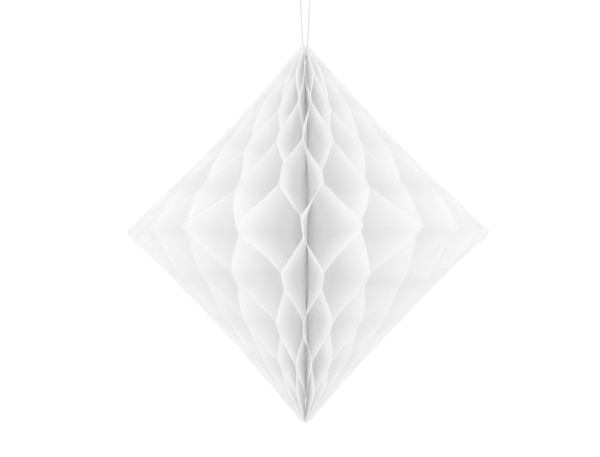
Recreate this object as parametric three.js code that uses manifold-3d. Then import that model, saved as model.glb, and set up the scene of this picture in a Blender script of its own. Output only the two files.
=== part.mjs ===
// Honeycomb paper diamond: a hanging decoration of tissue leaves fanned all the
// way round one upright spine. Every leaf is the same cut sheet. It is glued to
// one neighbour along every second glue line and to the other neighbour along
// the lines between, so the open fan stands as a honeycomb of tall cells.
// Millimetres, +Z up along the spine. The origin is the inside of the top of the
// hanging loop, the point that bears on a hook.
import * as THREE from "three";
import { mergeVertices } from "three/addons/utils/BufferGeometryUtils.js";
import Module from "manifold-3d";

// ---- driving dimensions, mm ----
const LEAF_COUNT = 48; // tissue leaves round the spine, an even number
const HALF_HEIGHT = 150; // equator to either tip
const EQUATOR_RADIUS = 138; // axis to the cut edge at the equator
const EQUATOR_FLAT = 3.6; // short upright edge at the widest corner
const TIP_RADIUS = 3.2; // axis to the cut edge at the blunt tips
const RIM_HOLLOW = 3.4; // how far the sloping cut edge bows in at half height
const SPINE_RADIUS = 2.5; // axis to the inner edge of a leaf
const LEAF_THICKNESS = 0.2;
const GLUE_GAP = 0.1; // glue film between two leaves
const GLUE_PITCH = 32; // height between neighbouring glue levels
const GLUE_LEVELS = 4; // levels above the equator, and as many below it
const BOND_HEIGHT = 10; // height over which two leaves lie flat together
const TIP_LEAN = 0.3; // how much of the sideways lean is left at the tips

const LOOP_THREAD = 0.9; // thickness of the hanging thread
const LOOP_RISE = 52; // top tip of the paper to the inside of the loop's top
const LOOP_RADIUS = 4.3; // bend over the hook, to the thread's centre
const LOOP_FOOT_X = 1.42; // half the distance between the two feet of the loop
const LOOP_FOOT_Z = 143.4; // height of the feet above the equator

const KNOT_RADIUS = 3.1; // knot that the loop is tied into, inside the spine
const KNOT_HALF_HEIGHT = 2.6;
const KNOT_Z = 140.5; // above the equator
const POCKET_RADIUS = 3.6; // room that the knot takes up in the leaves' inner edges
const POCKET_Z = [137.4, 142.4];

const BINDING_THREAD = 0.6; // stitch that gathers the leaves at each end of the spine
const BINDING_RADIUS = 4.6;
const BINDING_Z = 128; // above and below the equator, through the last glue levels
const STITCH_HOLE = 1.2; // square needle hole in each leaf

// ---- colours ----
const TISSUE = { color: 0xf4f4f1, roughness: 0.95, metalness: 0 };
const THREAD = { color: 0xf0f0ed, roughness: 0.9, metalness: 0 };

const wasm = await Module();
wasm.setup();

const STEP = (2 * Math.PI) / LEAF_COUNT; // angle from one leaf to the next
const SPREAD = Math.tan(STEP / 2);

// Distance of the cut edge from the axis at a height above or below the equator.
function rimRadius(z) {
  const flat = EQUATOR_FLAT / 2;
  const s = Math.max(0, Math.abs(z) - flat) / (HALF_HEIGHT - flat);
  return (
    TIP_RADIUS +
    (EQUATOR_RADIUS - TIP_RADIUS) * (1 - s) -
    RIM_HOLLOW * 4 * s * (1 - s)
  );
}

// Heights at which a leaf is given its four corners, with its lean there:
// +1 lies against the next leaf, -1 against the one before, 0 is midway.
function stations(side) {
  const list = [[-HALF_HEIGHT, side * TIP_LEAN]];
  for (let k = -GLUE_LEVELS; k <= GLUE_LEVELS; k++) {
    const lean = side * (k % 2 === 0 ? 1 : -1);
    const z = k * GLUE_PITCH;
    list.push([z - BOND_HEIGHT / 2, lean]);
    if (k === 0)
      list.push([-EQUATOR_FLAT / 2, lean], [EQUATOR_FLAT / 2, lean]);
    list.push([z + BOND_HEIGHT / 2, lean]);
    if (k < GLUE_LEVELS) list.push([z + GLUE_PITCH / 2, 0]);
  }
  list.push([HALF_HEIGHT, side * TIP_LEAN]);
  return list;
}

// A closed leaf lying along +X. Both faces are split along the same diagonals,
// so the sheet keeps its thickness where it twists.
function leafSheet(side) {
  const rows = stations(side);
  const position = [];
  const index = [];
  const half = LEAF_THICKNESS / 2;
  const inset = (GLUE_GAP + LEAF_THICKNESS) / 2;
  for (const [z, lean] of rows)
    for (const x of [SPINE_RADIUS, rimRadius(z)]) {
      const y = lean * (x * SPREAD - inset);
      position.push(x, y - half, z, x, y + half, z);
    }
  const quad = (a, b, c, d) => index.push(a, b, c, a, c, d);
  for (let i = 0; i + 1 < rows.length; i++) {
    const a = 4 * i; // inner -y, inner +y, outer -y, outer +y
    const b = a + 4;
    quad(a, a + 2, b + 2, b); // face towards -y
    index.push(a + 1, b + 3, a + 3, a + 1, b + 1, b + 3); // face towards +y
    quad(a + 2, a + 3, b + 3, b + 2); // cut edge
    quad(a + 1, a, b, b + 1); // spine edge
  }
  const last = 4 * (rows.length - 1);
  quad(0, 1, 3, 2); // lower tip
  quad(last, last + 2, last + 3, last + 1); // upper tip
  const geometry = new THREE.BufferGeometry();
  geometry.setAttribute(
    "position",
    new THREE.Float32BufferAttribute(position, 3),
  );
  geometry.setIndex(index);
  return geometry;
}

function solidOf(geometry) {
  const bare = geometry.clone();
  bare.deleteAttribute("normal");
  bare.deleteAttribute("uv");
  const merged = mergeVertices(bare, 1e-4);
  return new wasm.Manifold(
    new wasm.Mesh({
      numProp: 3,
      vertProperties: new Float32Array(merged.attributes.position.array),
      triVerts: new Uint32Array(merged.index.array),
    }),
  );
}

function geometryOf(solid) {
  const mesh = solid.getMesh();
  const position = [];
  for (let i = 0; i < mesh.numVert; i++)
    for (let k = 0; k < 3; k++)
      position.push(mesh.vertProperties[i * mesh.numProp + k]);
  const geometry = new THREE.BufferGeometry();
  geometry.setAttribute(
    "position",
    new THREE.Float32BufferAttribute(position, 3),
  );
  geometry.setIndex(Array.from(mesh.triVerts));
  geometry.computeVertexNormals();
  return geometry;
}

// The sheet with its two needle holes and its share of the knot's pocket.
function leafGeometry(side) {
  let solid = solidOf(leafSheet(side));
  for (const z of [-BINDING_Z, BINDING_Z]) {
    const hole = new THREE.BoxGeometry(STITCH_HOLE, 4, STITCH_HOLE);
    solid = solid.subtract(solidOf(hole.translate(BINDING_RADIUS, 0, z)));
  }
  const pocket = new THREE.BoxGeometry(
    POCKET_RADIUS,
    4,
    POCKET_Z[1] - POCKET_Z[0],
  );
  pocket.translate(POCKET_RADIUS / 2, 0, (POCKET_Z[0] + POCKET_Z[1]) / 2);
  return geometryOf(solid.subtract(solidOf(pocket)));
}

// Centre line of the hanging thread: up one side, over the hook, down the other.
const HOOK_Z = HALF_HEIGHT + LOOP_RISE; // inside of the loop's top
const BEND_Z = HOOK_Z + LOOP_THREAD / 2 - LOOP_RADIUS; // centre of the bend
// The straight legs spread by this angle and run into the bend without a corner.
let flare = 0;
for (let i = 0; i < 20; i++) {
  const topX = LOOP_RADIUS * Math.cos(flare);
  const topZ = BEND_Z - LOOP_RADIUS * Math.sin(flare);
  flare = Math.atan2(topX - LOOP_FOOT_X, topZ - LOOP_FOOT_Z);
}
class LoopPath extends THREE.Curve {
  getPoint(t, target = new THREE.Vector3()) {
    const topX = LOOP_RADIUS * Math.cos(flare);
    const topZ = BEND_Z - LOOP_RADIUS * Math.sin(flare);
    const leg = Math.hypot(topX - LOOP_FOOT_X, topZ - LOOP_FOOT_Z);
    const sweep = Math.PI + 2 * flare;
    const total = 2 * leg + sweep * LOOP_RADIUS;
    const s = t * total;
    if (s < leg || s > total - leg) {
      const up = Math.min(s, total - s) / leg;
      const x = LOOP_FOOT_X + (topX - LOOP_FOOT_X) * up;
      const z = LOOP_FOOT_Z + (topZ - LOOP_FOOT_Z) * up;
      return target.set(s < leg ? -x : x, 0, z);
    }
    const angle = Math.PI + flare - (s - leg) / LOOP_RADIUS;
    return target.set(
      LOOP_RADIUS * Math.cos(angle),
      0,
      BEND_Z + LOOP_RADIUS * Math.sin(angle),
    );
  }
}

function loopGeometry() {
  const section = new THREE.Shape();
  for (let i = 0; i < 8; i++) {
    const a = ((i + 0.5) * Math.PI) / 4;
    const x = (LOOP_THREAD / 2) * Math.cos(a);
    const y = (LOOP_THREAD / 2) * Math.sin(a);
    if (i) section.lineTo(x, y);
    else section.moveTo(x, y);
  }
  section.closePath();
  return new THREE.ExtrudeGeometry(section, {
    steps: 64,
    bevelEnabled: false,
    extrudePath: new LoopPath(),
  });
}

function piece(name, geometry, look) {
  const mesh = new THREE.Mesh(geometry, new THREE.MeshStandardMaterial(look));
  mesh.name = name;
  return mesh;
}

const diamond = new THREE.Group();

const forward = leafGeometry(1);
const backward = leafGeometry(-1);
for (let i = 0; i < LEAF_COUNT; i++) {
  const name = `leaf_${String(i + 1).padStart(2, "0")}`;
  const leaf = piece(name, i % 2 === 0 ? forward : backward, TISSUE);
  leaf.rotation.z = -Math.PI / 2 + (i - 0.5) * STEP; // a joint faces -Y
  diamond.add(leaf);
}

for (const [name, z] of [
  ["top_binding_thread", BINDING_Z],
  ["bottom_binding_thread", -BINDING_Z],
]) {
  const ring = new THREE.TorusGeometry(
    BINDING_RADIUS,
    BINDING_THREAD / 2,
    6,
    24,
  );
  const binding = piece(name, ring, THREAD);
  binding.position.z = z;
  diamond.add(binding);
}

const knotBall = new THREE.SphereGeometry(1, 12, 8);
knotBall.rotateX(Math.PI / 2);
knotBall.scale(KNOT_RADIUS, KNOT_RADIUS, KNOT_HALF_HEIGHT);
const knot = piece("loop_knot", knotBall, THREAD);
knot.position.z = KNOT_Z;
diamond.add(knot);

diamond.add(piece("hanging_loop", loopGeometry(), THREAD));

// The whole decoration hangs below the point that bears on the hook.
diamond.position.z = -HOOK_Z;
const group = new THREE.Group();
group.add(diamond);

export default group;
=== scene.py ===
"""Honeycomb paper diamond: tissue leaves round an upright spine, hung by a thread loop.

Metres, +Z up. The origin is the inside of the top of the hanging loop.
"""

import math

import bpy
import numpy as np
from mathutils import Matrix, Vector


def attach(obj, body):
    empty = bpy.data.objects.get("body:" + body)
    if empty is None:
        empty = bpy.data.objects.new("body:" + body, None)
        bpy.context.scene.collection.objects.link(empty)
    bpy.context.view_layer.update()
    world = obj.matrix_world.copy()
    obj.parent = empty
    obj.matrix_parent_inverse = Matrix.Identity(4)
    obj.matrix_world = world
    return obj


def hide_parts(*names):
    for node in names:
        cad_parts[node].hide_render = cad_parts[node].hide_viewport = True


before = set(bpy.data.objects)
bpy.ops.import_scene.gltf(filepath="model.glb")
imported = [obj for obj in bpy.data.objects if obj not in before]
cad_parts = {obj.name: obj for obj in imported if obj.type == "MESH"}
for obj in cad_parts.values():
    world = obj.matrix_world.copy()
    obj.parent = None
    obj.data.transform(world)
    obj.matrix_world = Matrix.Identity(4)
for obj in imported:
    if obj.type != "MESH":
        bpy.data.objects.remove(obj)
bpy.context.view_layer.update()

MM = 0.001

# ---- the sheet stack, millimetres ----
LEAVES = 48
STEP = 2 * math.pi / LEAVES
HALF_HEIGHT = 150.0
EQUATOR_RADIUS = 138.0
EQUATOR_FLAT = 1.2
TIP_RADIUS = 3.2
LOW_TIP_ROUND = 1.5
RIM_HOLLOW = 4.4
SPINE_RADIUS = 2.5  # at the knot and the stitches
KNOT_Z = 140.5
KNOT_ROOM = 0.8
CORE_RADIUS = 0.4  # between the stitches, where the leaves are pressed together
CROWD = (4.5, 9.0)  # radii between which the leaves fill out towards the spine
PITCH = 32.0
LEVELS = 4
BOND_HALF = 2.6
LOOP_RISE = 52.0
HOOK_Z = HALF_HEIGHT + LOOP_RISE
THICK = 0.07
GLUE = 0.03
BOW = 1.8  # sideways bow of the hanging stack at mid height
ROUND = 0.12  # share of a free panel that bends at each end

# ---- how far single joints stand from their even place ----
# (joint, level): (turn about the spine in degrees, rise in mm, half height in mm)
NUDGE = {
    (0, 0): (-0.32, -0.9, 5),
    (-2, 0): (-1.26, -1.9, 2),
    (2, 0): (-0.87, -0.4, 2),
    (-4, 0): (-1.51, -1.2, 2),
    (4, 0): (0.36, -2.5, 2),
    (-6, 0): (-0.24, -0.8, 2),
    (6, 0): (-1.13, -2.1, 2),
    (-1, 1): (-0.36, 2.2, 6.8),
    (1, 1): (-1.4, -0.8, 3),
    (-1, -1): (0.2, -1.3, 4.3),
    (1, -1): (-1.21, -1.3, 4.3),
    (-3, 1): (0.87, -4.7, 2.2),
    (3, 1): (-1.93, -3.7, 2.2),
    (-3, -1): (-1.85, 0.3, 2.2),
    (3, -1): (-0.87, 0, 2.2),
    (-5, 1): (0.55, -4.3, 2.2),
    (5, 1): (-3.18, -6.1, 2.2),
    (-5, -1): (-1.05, 1.3, 2.2),
    (5, -1): (-0.24, -3.4, 2.2),
    (7, -1): (-0.73, -4, 2.2),
    (0, 2): (-1.16, 0.4, 3),
    (-2, 2): (1.54, 0.2, 4),
    (2, 2): (-1.57, 0, 3),
    (-4, 2): (2.09, -7, 1.8),
    (4, 2): (-2.53, -4.5, 1.8),
    (0, -2): (-0.96, -2.8, 4.3),
    (-2, -2): (0.69, -3.2, 3.7),
    (2, -2): (-1.36, -1.2, 3),
    (-4, -2): (-1.9, 0.3, 1.8),
    (4, -2): (-0.93, 0.4, 1.8),
    (-1, 3): (1.46, -1.5, 1.5),
    (1, 3): (-2.49, -0.7, 1.5),
    (-3, 3): (3.12, -7, 1.5),
    (3, 3): (-3.5, -5.8, 1.5),
    (-1, -3): (-0.81, -2.6, 1.5),
    (1, -3): (-1.79, 1.8, 1.5),
    (-3, -3): (-0.62, 0.1, 1.5),
    (3, -3): (-0.31, -0.6, 1.5),
    (0, 4): (-1.89, -3.1, 1.4),
    (0, -4): (1.43, -4.5, 1.4),
}
# joints whose glued strip leans: turn of its upper end against its middle, degrees
SLANT = {(0, 0): -0.25, (0, -2): 0.12}

rng = np.random.default_rng(7)


def rim(z):
    flat = EQUATOR_FLAT / 2
    s = np.clip(np.abs(z) - flat, 0, None) / (HALF_HEIGHT - flat)
    return (
        TIP_RADIUS
        + (EQUATOR_RADIUS - TIP_RADIUS) * (1 - s)
        - RIM_HOLLOW * 4 * s * (1 - s)
        - LOW_TIP_ROUND * np.clip((3 - HALF_HEIGHT - z) / 3, 0, 1) ** 2
    )


def spine(z):
    u = np.clip((np.abs(z) - 106) / 14, 0, 1)
    # below the lower stitch the core closes up again
    v = np.clip((-z - 132) / 12, 0, 1)
    u = u * u * (3 - 2 * u) - v * v * (3 - 2 * v)
    # the knot needs a little more room than the stitches
    room = KNOT_ROOM * np.clip(1 - ((z - KNOT_Z) / 7) ** 2, 0, 1)
    return CORE_RADIUS + (SPINE_RADIUS - CORE_RADIUS) * u + room


# One entry for each glued joint: its turn, its height and its half height.
JOINT = {}
for level in range(-LEVELS - 1, LEVELS + 2):
    for b in range(LEAVES):
        if (b - level) % 2:
            continue
        key = (b if b <= LEAVES // 2 else b - LEAVES, level)
        turn = math.radians(float(rng.normal(0, 0.55)))
        rise = float(rng.normal(0, 1.1))
        half = BOND_HALF * float(rng.uniform(0.75, 1.3)) * (1 - 0.09 * abs(level))
        if key in NUDGE:
            turn, rise, half = NUDGE[key]
            turn = math.radians(turn)
        if abs(level) > LEVELS:
            turn, rise = 0.4 * turn, 0.0
        slant = math.radians(SLANT.get(key, 0.0))
        JOINT[(b, level)] = (b * STEP + turn, level * PITCH + rise, half, slant)


def ease(u):
    """0 to 1 with a straight middle and a bend of share ROUND at each end."""
    a = ROUND
    v = 1 / (1 - a)
    u = np.clip(u, 0, 1)
    start = v * u * u / (2 * a)
    middle = v * (u - a / 2)
    end = 1 - v * (1 - u) ** 2 / (2 * a)
    return np.where(u < a, start, np.where(u > 1 - a, end, middle))


def leaf_course(i):
    """Turn, lean and free share of leaf i at each of its heights."""
    marks = []
    for level in range(-LEVELS - 1, LEVELS + 2):
        ahead = (i - level) % 2 == 0
        turn, z, half, slant = JOINT[((i if ahead else i - 1) % LEAVES, level)]
        own = (i - 0.5) * STEP
        turn = (turn - own + math.pi) % (2 * math.pi) - math.pi
        marks.append((turn, z, half, 1.0 if ahead else -1.0, slant))
    zs = []
    for k, (_, z, half, _, _) in enumerate(marks):
        if 0 < k < len(marks) - 1:
            zs += list(np.linspace(z - half, z + half, 5))
        if k < len(marks) - 1:
            a, b = z + half, marks[k + 1][1] - marks[k + 1][2]
            zs += list(np.linspace(a, b, 15)[1:-1])
    zs += list(-HALF_HEIGHT + np.array([0.4, 0.9, 1.6, 2.4, 3.4]))
    zs = np.array(zs + [-EQUATOR_FLAT / 2, EQUATOR_FLAT / 2, -HALF_HEIGHT, HALF_HEIGHT])
    zs = np.unique(np.round(zs[np.abs(zs) <= HALF_HEIGHT], 3))
    turn = np.zeros_like(zs)
    lean = np.zeros_like(zs)
    free = np.zeros_like(zs)
    panel = np.zeros(len(zs), int)
    for n, z in enumerate(zs):
        for k in range(len(marks)):
            t, zc, half, side, slant = marks[k]
            if abs(z - zc) <= half + 1e-6:
                turn[n], lean[n] = t + slant * (z - zc) / half, side
                break
            if k + 1 < len(marks):
                t2, zc2, half2, side2, slant2 = marks[k + 1]
                t, t2 = t + slant, t2 - slant2
                a, b = zc + half, zc2 - half2
                if a < z < b:
                    u = (z - a) / (b - a)
                    e = float(ease(np.array(u)))
                    turn[n] = t + (t2 - t) * e
                    lean[n] = side + (side2 - side) * e
                    free[n] = math.sin(math.pi * u) ** 1.5
                    panel[n] = k
                    break
    return zs, turn, lean, free, panel


def joint_plane(b, zs):
    """Angle of glue plane b at each height, between its two leaves."""
    marks = [
        JOINT[(b % LEAVES, level)]
        for level in range(-LEVELS - 1, LEVELS + 2)
        if (b - level) % 2 == 0
    ]
    home = (b % LEAVES) * STEP
    marks = [(t - home, z, half, slant) for t, z, half, slant in marks]
    out = np.zeros_like(zs)
    for n, z in enumerate(zs):
        t, zc, half, slant = marks[0]
        out[n] = t - slant
        for k, (t, zc, half, slant) in enumerate(marks):
            if z < zc - half:
                t0, z0, half0, slant0 = marks[max(k - 1, 0)]
                if k and z > z0 + half0:
                    u = (z - z0 - half0) / (zc - half - z0 - half0)
                    out[n] = t0 + slant0 + (t - slant - t0 - slant0) * float(ease(np.array(u)))
                break
            out[n] = t + slant * min((z - zc) / half, 1.0)
    return b * STEP + out


INNER_RINGS = 5
RADIAL = 17 + INNER_RINGS


def leaf_mesh(i):
    zs, turn, lean, free, panel = leaf_course(i)
    n, m = len(zs), RADIAL
    own = (i - 0.5) * STEP - math.pi / 2
    local = np.random.default_rng(1000 + i)
    bulge = local.normal(0, 1.0, 2 * LEVELS + 4)
    skew = local.uniform(0.25, 0.75, 2 * LEVELS + 4)
    wave = local.uniform(0, 2 * math.pi, 4)
    curl = local.normal(0, 1.0, 2 * LEVELS + 4)
    outer = rim(zs)
    # the cut edge wanders by a fraction of a millimetre
    outer = outer + 0.22 * np.sin(zs * 0.21 + wave[0]) * (outer > 12) + 0.12 * np.sin(
        zs * 0.47 + wave[1]
    ) * (outer > 12)
    s = np.linspace(0, 1, m - INNER_RINGS + 1)
    s = 1 - (1 - s) ** 1.25  # finer towards the cut edge
    inner = spine(zs)
    wide = outer - inner
    shrink = np.clip(outer / 60, 0, 1)
    near = inner + np.clip(CROWD[1] * shrink - inner, 0.05 * wide, 0.3 * wide)
    core = np.linspace(0, 1, INNER_RINGS + 1)[:-1]
    r = np.concatenate(
        [
            inner[:, None] + (near - inner)[:, None] * core[None, :],
            near[:, None] + (outer - near)[:, None] * s[None, :],
        ],
        axis=1,
    )
    s = (r - inner[:, None]) / wide[:, None]
    press = np.clip(r / 6.0, 0.12, 1.0)
    inset = press * (THICK + GLUE) / 2
    # sideways place of the mid surface, measured round the spine
    side = r * turn[:, None] - lean[:, None] * inset
    shape = np.exp(-(((s - skew[panel][:, None]) / 0.33) ** 2))
    side = side + (
        free[:, None]
        * bulge[panel][:, None]
        * 0.8
        * shape
        * (r / EQUATOR_RADIUS)
    )
    # the free edge of the tissue curls a little
    side = side + free[:, None] * (
        0.5 * curl[panel][:, None] * s**6 * (r / EQUATOR_RADIUS) ** 0.5
    )
    angle = own + side / r
    mid = np.stack([r * np.cos(angle), r * np.sin(angle), np.repeat(zs[:, None], m + 1, 1)], -1)
    mid[..., 0] += (BOW * (1 - (zs / HALF_HEIGHT) ** 2))[:, None]
    du = np.gradient(mid, axis=1)
    dv = np.gradient(mid, axis=0)
    nor = np.cross(du, dv)
    nor /= np.linalg.norm(nor, axis=-1, keepdims=True)
    half = press[..., None] * THICK / 2
    left = mid - nor * half
    right = mid + nor * half
    # close to the spine the crumpled leaf fills the room between its glue planes
    crowd = np.clip((CROWD[1] - r / shrink[:, None]) / (CROWD[1] - CROWD[0]), 0, 1)
    crowd = crowd * crowd * (3 - 2 * crowd)
    ahead = joint_plane(i, zs)[:, None] - math.pi / 2 - angle - inset / r
    behind = joint_plane(i - 1, zs)[:, None] - math.pi / 2 - angle + inset / r

    def shove(by):
        x = r * (np.cos(angle + by) - np.cos(angle))
        y = r * (np.sin(angle + by) - np.sin(angle))
        return np.stack([x, y, np.zeros_like(r)], -1)

    left = left + shove(crowd * np.clip(ahead, 0, None))
    right = right + shove(crowd * np.clip(behind, None, 0))
    verts = np.concatenate([left.reshape(-1, 3), right.reshape(-1, 3)]) * MM
    verts[:, 2] -= HOOK_Z * MM
    off = n * (m + 1)
    idx = np.arange(off).reshape(n, m + 1)
    a, b, c, d = idx[:-1, :-1], idx[:-1, 1:], idx[1:, 1:], idx[1:, :-1]
    front = np.stack([a, d, c, b], -1).reshape(-1, 4)  # outward along -normal
    back = np.stack([a, b, c, d], -1).reshape(-1, 4) + off
    edges = []

    def strip(line):
        edges.append(
            np.stack([line[:-1], line[1:], line[1:] + off, line[:-1] + off], -1)
        )

    strip(idx[::-1, 0])
    strip(idx[:, -1])
    strip(idx[0, :])
    strip(idx[-1, ::-1])
    faces = np.concatenate([front, back] + edges)
    return verts, faces, len(front) + len(back)


def make_mesh(name, verts, faces, smooth=None):
    me = bpy.data.meshes.new(name)
    me.from_pydata(np.asarray(verts).tolist(), [], np.asarray(faces).tolist())
    me.validate()
    flags = np.ones(len(me.polygons), bool)
    if smooth is not None:
        flags[smooth:] = False
    me.polygons.foreach_set("use_smooth", flags)
    me.update()
    ob = bpy.data.objects.new(name, me)
    bpy.context.scene.collection.objects.link(ob)
    return ob


# ---------------------------------------------------------------- materials
# painted light and shade across each sheet, from the spine, 0, to the cut edge, 1: a lower reflectance
# at the spine and over the outer panels paints shade into the cell bottoms and cells, and a near-white
# band between them lightens the deep part of the cells so the core reads grey
PAINTED_LIGHT_AND_SHADE = [
    (0.0, 0.940),
    (0.06, 0.960),
    (0.15, 0.985),
    (0.28, 0.996),
    (0.40, 0.999),
    (0.50, 0.980),
    (0.70, 0.980),
    (0.88, 0.970),
]


def tissue_material():
    mat = bpy.data.materials.new("tissue_paper")
    mat.use_nodes = True
    nt = mat.node_tree
    nt.nodes.clear()
    out = nt.nodes.new("ShaderNodeOutputMaterial")
    mix = nt.nodes.new("ShaderNodeMixShader")
    dif = nt.nodes.new("ShaderNodeBsdfDiffuse")
    tra = nt.nodes.new("ShaderNodeBsdfTranslucent")
    coord = nt.nodes.new("ShaderNodeTexCoord")
    cloud = nt.nodes.new("ShaderNodeTexNoise")
    cloud.inputs["Scale"].default_value = 160.0
    cloud.inputs["Detail"].default_value = 6.0
    cloud.inputs["Roughness"].default_value = 0.6
    tone = nt.nodes.new("ShaderNodeValToRGB")
    tone.color_ramp.elements[0].position = 0.25
    tone.color_ramp.elements[0].color = (0.997, 0.997, 0.997, 1)
    tone.color_ramp.elements[1].position = 0.75
    tone.color_ramp.elements[1].color = (1.0, 1.0, 1.0, 1)
    fibre = nt.nodes.new("ShaderNodeTexNoise")
    fibre.inputs["Scale"].default_value = 900.0
    fibre.inputs["Detail"].default_value = 4.0
    crease = nt.nodes.new("ShaderNodeTexNoise")
    crease.inputs["Scale"].default_value = 70.0
    crease.inputs["Detail"].default_value = 3.0
    add = nt.nodes.new("ShaderNodeMath")
    add.operation = "MULTIPLY_ADD"
    add.inputs[1].default_value = 0.15
    bump = nt.nodes.new("ShaderNodeBump")
    bump.inputs["Distance"].default_value = 0.0012
    lk = nt.links.new
    place = nt.nodes.new("ShaderNodeSeparateXYZ")
    flat = nt.nodes.new("ShaderNodeCombineXYZ")
    reach = nt.nodes.new("ShaderNodeVectorMath")
    reach.operation = "LENGTH"
    lift = nt.nodes.new("ShaderNodeMath")
    lift.operation = "ADD"
    lift.inputs[1].default_value = HOOK_Z * MM
    climb = nt.nodes.new("ShaderNodeMath")
    climb.operation = "ABSOLUTE"
    width = nt.nodes.new("ShaderNodeMath")
    width.operation = "MULTIPLY_ADD"
    width.inputs[1].default_value = -EQUATOR_RADIUS / HALF_HEIGHT
    width.inputs[2].default_value = (EQUATOR_RADIUS + 3) * MM
    share = nt.nodes.new("ShaderNodeMath")
    share.operation = "DIVIDE"
    # painted light and shade: this ramp sets the sheet's reflectance by its distance from the spine, not
    # the tissue's own colour
    painted_shade_ramp = nt.nodes.new("ShaderNodeValToRGB")
    stops = painted_shade_ramp.color_ramp.elements
    for k, (at, white) in enumerate(PAINTED_LIGHT_AND_SHADE):
        stop = stops[k] if k < 2 else stops.new(at)
        stop.position = at
        stop.color = (white, white, white, 1)
    # the painted light and shade, multiplied by the faint random tone of the tissue
    paper = nt.nodes.new("ShaderNodeMix")
    paper.data_type = "RGBA"
    paper.blend_type = "MULTIPLY"
    paper.inputs[0].default_value = 1.0
    lk(coord.outputs["Object"], place.inputs["Vector"])
    lk(place.outputs["X"], flat.inputs["X"])
    lk(place.outputs["Y"], flat.inputs["Y"])
    lk(flat.outputs["Vector"], reach.inputs[0])
    lk(place.outputs["Z"], lift.inputs[0])
    lk(lift.outputs["Value"], climb.inputs[0])
    lk(climb.outputs["Value"], width.inputs[0])
    lk(reach.outputs["Value"], share.inputs[0])
    lk(width.outputs["Value"], share.inputs[1])
    lk(share.outputs["Value"], painted_shade_ramp.inputs["Fac"])
    lk(painted_shade_ramp.outputs["Color"], paper.inputs[6])
    # pressed flat at the spine, cockled further out
    cockle = nt.nodes.new("ShaderNodeMapRange")
    cockle.inputs["From Min"].default_value = 0.06
    cockle.inputs["From Max"].default_value = 0.22
    cockle.inputs["To Max"].default_value = 0.18
    lk(share.outputs["Value"], cockle.inputs["Value"])
    lk(cockle.outputs["Result"], bump.inputs["Strength"])
    # the gathered layers let no light through at the spine
    sheer = nt.nodes.new("ShaderNodeMapRange")
    sheer.inputs["From Min"].default_value = 0.15
    sheer.inputs["From Max"].default_value = 0.40
    sheer.inputs["To Max"].default_value = 0.30
    lk(share.outputs["Value"], sheer.inputs["Value"])
    # the cut edge is opaque: its faces look outwards, those of the sheet sideways
    outward = nt.nodes.new("ShaderNodeVectorMath")
    outward.operation = "NORMALIZE"
    facing = nt.nodes.new("ShaderNodeVectorMath")
    facing.operation = "DOT_PRODUCT"
    either = nt.nodes.new("ShaderNodeMath")
    either.operation = "ABSOLUTE"
    cut = nt.nodes.new("ShaderNodeMapRange")
    cut.inputs["From Min"].default_value = 0.3
    cut.inputs["From Max"].default_value = 0.6
    cut.inputs["To Min"].default_value = 1.0
    cut.inputs["To Max"].default_value = 0.0
    veil = nt.nodes.new("ShaderNodeMath")
    veil.operation = "MULTIPLY"
    lk(flat.outputs["Vector"], outward.inputs[0])
    lk(outward.outputs["Vector"], facing.inputs[0])
    lk(coord.outputs["Normal"], facing.inputs[1])
    lk(facing.outputs["Value"], either.inputs[0])
    lk(either.outputs["Value"], cut.inputs["Value"])
    lk(sheer.outputs["Result"], veil.inputs[0])
    lk(cut.outputs["Result"], veil.inputs[1])
    lk(veil.outputs["Value"], mix.inputs[0])
    lk(coord.outputs["Object"], cloud.inputs["Vector"])
    lk(coord.outputs["Object"], fibre.inputs["Vector"])
    lk(coord.outputs["Object"], crease.inputs["Vector"])
    lk(cloud.outputs["Fac"], tone.inputs["Fac"])
    lk(tone.outputs["Color"], paper.inputs[7])
    ends = nt.nodes.new("ShaderNodeMapRange")
    ends.interpolation_type = "SMOOTHSTEP"
    ends.inputs["From Min"].default_value = 0.050
    ends.inputs["From Max"].default_value = 0.125
    ends.inputs["To Min"].default_value = 1.0
    ends.inputs["To Max"].default_value = 0.982
    sheet = nt.nodes.new("ShaderNodeMix")
    sheet.data_type = "RGBA"
    sheet.blend_type = "MULTIPLY"
    within = nt.nodes.new("ShaderNodeMapRange")
    within.inputs["From Min"].default_value = 0.50
    within.inputs["From Max"].default_value = 0.80
    within.inputs["To Min"].default_value = 1.0
    within.inputs["To Max"].default_value = 0.0
    lk(share.outputs["Value"], within.inputs["Value"])
    lk(within.outputs["Result"], sheet.inputs[0])
    lk(climb.outputs["Value"], ends.inputs["Value"])
    lk(paper.outputs[2], sheet.inputs[6])
    lk(ends.outputs["Result"], sheet.inputs[7])
    lk(sheet.outputs[2], dif.inputs["Color"])
    lk(sheet.outputs[2], tra.inputs["Color"])
    lk(fibre.outputs["Fac"], add.inputs[0])
    lk(crease.outputs["Fac"], add.inputs[2])
    lk(add.outputs["Value"], bump.inputs["Height"])
    lk(bump.outputs["Normal"], dif.inputs["Normal"])
    lk(bump.outputs["Normal"], tra.inputs["Normal"])
    lk(dif.outputs["BSDF"], mix.inputs[1])
    lk(tra.outputs["BSDF"], mix.inputs[2])
    lk(mix.outputs["Shader"], out.inputs["Surface"])
    return mat


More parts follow.
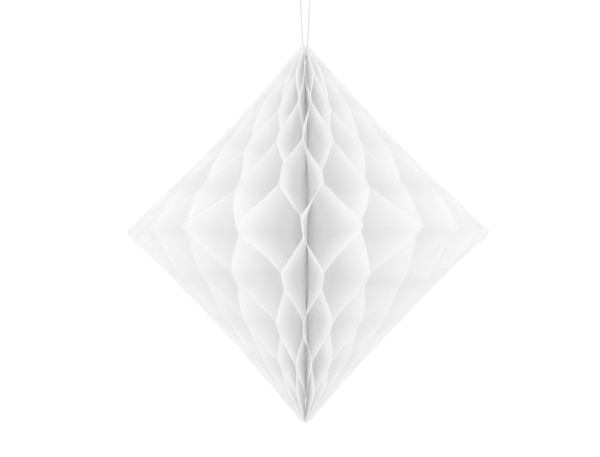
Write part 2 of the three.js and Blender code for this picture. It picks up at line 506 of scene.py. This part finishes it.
def thread_material():
    mat = bpy.data.materials.new("thread")
    mat.use_nodes = True
    nt = mat.node_tree
    bsdf = nt.nodes["Principled BSDF"]
    bsdf.inputs["Roughness"].default_value = 0.85
    coord = nt.nodes.new("ShaderNodeTexCoord")
    fuzz = nt.nodes.new("ShaderNodeTexNoise")
    fuzz.inputs["Scale"].default_value = 2500.0
    fuzz.inputs["Detail"].default_value = 4.0
    tone = nt.nodes.new("ShaderNodeValToRGB")
    tone.color_ramp.elements[0].color = (0.50, 0.50, 0.495, 1)
    tone.color_ramp.elements[1].color = (0.66, 0.66, 0.655, 1)
    bump = nt.nodes.new("ShaderNodeBump")
    bump.inputs["Strength"].default_value = 0.35
    bump.inputs["Distance"].default_value = 0.0002
    lk = nt.links.new
    lk(coord.outputs["Object"], fuzz.inputs["Vector"])
    lk(fuzz.outputs["Fac"], tone.inputs["Fac"])
    lk(tone.outputs["Color"], bsdf.inputs["Base Color"])
    lk(fuzz.outputs["Fac"], bump.inputs["Height"])
    lk(bump.outputs["Normal"], bsdf.inputs["Normal"])
    return mat


TISSUE = tissue_material()
THREAD = thread_material()

# ---------------------------------------------------------------- leaves
for i in range(LEAVES):
    verts, faces, wide = leaf_mesh(i)
    node = f"leaf_{i + 1:02d}"
    leaf = make_mesh(f"tissue_{node}", verts, faces, wide)
    leaf.data.materials.append(TISSUE)
    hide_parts(node)
    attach(leaf, "root")

# ---------------------------------------------------------------- hanging thread
LOOP_THREAD = 0.9
LOOP_RADIUS = 4.3
FOOT_X, FOOT_Z = 1.42, 143.4
BEND_Z = HOOK_Z + LOOP_THREAD / 2 - LOOP_RADIUS
flare = 0.0
for _ in range(20):
    top_x = LOOP_RADIUS * math.cos(flare)
    top_z = BEND_Z - LOOP_RADIUS * math.sin(flare)
    flare = math.atan2(top_x - FOOT_X, top_z - FOOT_Z)
leg = math.hypot(top_x - FOOT_X, top_z - FOOT_Z)
sweep = math.pi + 2 * flare
LOOP_LENGTH = 2 * leg + sweep * LOOP_RADIUS


def loop_point(s):
    if s < leg or s > LOOP_LENGTH - leg:
        up = min(s, LOOP_LENGTH - s) / leg
        x = FOOT_X + (top_x - FOOT_X) * up
        z = FOOT_Z + (top_z - FOOT_Z) * up
        return (-x if s < leg else x, 0.0, z)
    a = math.pi + flare - (s - leg) / LOOP_RADIUS
    return (LOOP_RADIUS * math.cos(a), 0.0, BEND_Z + LOOP_RADIUS * math.sin(a))


def twisted_tube(points, radius, around, plies, lay, depth):
    """A closed tube along points with the lobes of a twisted thread."""
    pts = np.array(points)
    tan = np.gradient(pts, axis=0)
    tan /= np.linalg.norm(tan, axis=1, keepdims=True)
    run = np.concatenate([[0], np.cumsum(np.linalg.norm(np.diff(pts, axis=0), axis=1))])
    up = np.cross(tan[0], (0.3, 0.2, 0.9))
    up /= np.linalg.norm(up)
    rings = []
    for k in range(len(pts)):
        up = up - tan[k] * np.dot(up, tan[k])
        up /= np.linalg.norm(up)
        w = np.cross(tan[k], up)
        a = np.arange(around) * 2 * math.pi / around
        rad = radius * (1 - depth + depth * np.abs(np.cos(plies / 2 * (a - 2 * math.pi * run[k] / lay))))
        rings.append(pts[k] + np.outer(rad * np.cos(a), up) + np.outer(rad * np.sin(a), w))
    verts = np.concatenate(rings + [pts[:1], pts[-1:]])
    n = len(pts)
    faces = []
    for k in range(n - 1):
        for j in range(around):
            p, q = k * around + j, k * around + (j + 1) % around
            faces.append((p, q, q + around, p + around))
    first, last = n * around, n * around + 1
    for j in range(around):
        faces.append((first, (j + 1) % around, j))
        faces.append((last, (n - 1) * around + j, (n - 1) * around + (j + 1) % around))
    return verts, faces


def tube_object(name, points, radius, around, plies, lay, depth):
    verts, faces = twisted_tube(points, radius, around, plies, lay, depth)
    verts = verts * MM
    verts[:, 2] -= HOOK_Z * MM
    me = bpy.data.meshes.new(name)
    me.from_pydata(verts.tolist(), [], [tuple(int(v) for v in f) for f in faces])
    me.validate()
    me.polygons.foreach_set("use_smooth", [True] * len(me.polygons))
    me.update()
    ob = bpy.data.objects.new(name, me)
    bpy.context.scene.collection.objects.link(ob)
    me.materials.append(THREAD)
    return ob


count = 420
loop_points = [loop_point(LOOP_LENGTH * k / count) for k in range(count + 1)]
loop = tube_object("thread_loop", loop_points, LOOP_THREAD / 2, 12, 2, 2.6, 0.16)
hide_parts("hanging_loop")
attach(loop, "root")

# the knot, a trefoil of the same thread
knot_points = []
for k in range(181):
    t = 2 * math.pi * k / 180
    x = math.sin(t) + 2 * math.sin(2 * t)
    y = math.cos(t) - 2 * math.cos(2 * t)
    z = -math.sin(3 * t)
    knot_points.append((x * 0.76, y * 0.76, KNOT_Z + z * 1.35))
knot_verts, knot_faces = twisted_tube(knot_points[:-1], 0.62, 10, 2, 2.2, 0.16)
ring_faces = [f for f in knot_faces if len(f) == 4]
seam = []
for j in range(10):
    p, q = 179 * 10 + j, 179 * 10 + (j + 1) % 10
    seam.append((p, q, (j + 1) % 10, j))
knot_verts = knot_verts[:1800] * MM
knot_verts[:, 2] -= HOOK_Z * MM
knot = make_mesh("thread_knot", knot_verts, ring_faces + seam)
knot.data.materials.append(THREAD)
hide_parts("loop_knot")
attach(knot, "root")


# the stitches that gather the spine keep their CAD shape
for node in ("top_binding_thread", "bottom_binding_thread"):
    ob = bpy.data.objects[node]
    for s in ob.material_slots:
        s.material = THREAD

# ---------------------------------------------------------------- stage
floor_z = -1.15
bpy.ops.mesh.primitive_plane_add(size=60, location=(0, 0, floor_z))
floor = bpy.context.object
floor.name = "floor"
fm = bpy.data.materials.new("floor")
fm.use_nodes = True
fb = fm.node_tree.nodes["Principled BSDF"]
# pale grey under the object, white further out
fn = fm.node_tree
where = fn.nodes.new("ShaderNodeTexCoord")
away = fn.nodes.new("ShaderNodeVectorMath")
away.operation = "LENGTH"
pale = fn.nodes.new("ShaderNodeMapRange")
pale.interpolation_type = "SMOOTHSTEP"
pale.inputs["From Min"].default_value = 0.6
pale.inputs["From Max"].default_value = 2.0
pale.inputs["To Min"].default_value = 0.88
pale.inputs["To Max"].default_value = 0.99
fn.links.new(where.outputs["Object"], away.inputs[0])
fn.links.new(away.outputs["Value"], pale.inputs["Value"])
fn.links.new(pale.outputs["Result"], fb.inputs["Base Color"])
fb.inputs["Roughness"].default_value = 0.9
floor.data.materials.append(fm)

world = bpy.data.worlds.new("studio")
bpy.context.scene.world = world
world.use_nodes = True
bg = world.node_tree.nodes["Background"]
bg.inputs["Color"].default_value = (1, 1, 1, 1)
# an evenly lit white room
bg.inputs["Strength"].default_value = 1.02


def area(name, where, target, size, watts):
    data = bpy.data.lights.new(name, "AREA")
    data.shape = "DISK"
    data.size = size
    data.energy = watts
    ob = bpy.data.objects.new(name, data)
    ob.location = where
    ob.rotation_euler = (Vector(target) - Vector(where)).to_track_quat("-Z", "Y").to_euler()
    ob.visible_camera = False
    bpy.context.scene.collection.objects.link(ob)
    return ob


area("front_fill", (0.1, -1.5, -0.05), (0, 0, -0.2), 0.9, 0.4)
area("right_box", (1.1, -1.0, 0.0), (0, 0, -0.2), 0.7, 1.4)
area("left_box", (-1.1, -1.0, 0.0), (0, 0, -0.2), 0.7, 1.4)
area("right_back_box", (1.1, 1.0, 0.0), (0, 0, -0.2), 0.7, 1.4)
area("left_back_box", (-1.1, 1.0, 0.0), (0, 0, -0.2), 0.7, 1.4)

# ---------------------------------------------------------------- camera
PX = 300.0 / 376.0  # millimetres at the spine for one of the 600 columns
DISTANCE = 570 * PX
CAM_RISE = -21.4 * PX
TURN = math.radians(1.28)
MID_Z = -HOOK_Z
az = -math.pi / 2 + TURN
cam_data = bpy.data.cameras.new("camera")
cam = bpy.data.objects.new("camera", cam_data)
bpy.context.scene.collection.objects.link(cam)
cam.location = (
    DISTANCE * MM * math.cos(az),
    DISTANCE * MM * math.sin(az),
    (MID_Z + CAM_RISE) * MM,
)
aim = Vector((0, 0, (MID_Z + CAM_RISE) * MM)) - cam.location
cam.rotation_euler = aim.to_track_quat("-Z", "Y").to_euler()
cam_data.sensor_width = 36
cam_data.sensor_fit = "HORIZONTAL"
cam_data.lens = 36 * DISTANCE / (600 * PX)
cam_data.shift_x = (300 - 305.2) / 600
cam_data.shift_y = (255.6 - 228.5) / 600
cam_data.clip_start = 0.01
cam_data.clip_end = 200
cam_data.dof.use_dof = False
bpy.context.scene.camera = cam

scene = bpy.context.scene
scene.view_settings.view_transform = "Standard"
scene.view_settings.look = "None"
scene.view_settings.gamma = 1.40
scene.cycles.max_bounces = 1000
scene.cycles.diffuse_bounces = 1000
scene.cycles.transmission_bounces = 1000
scene.cycles.transparent_max_bounces = 8
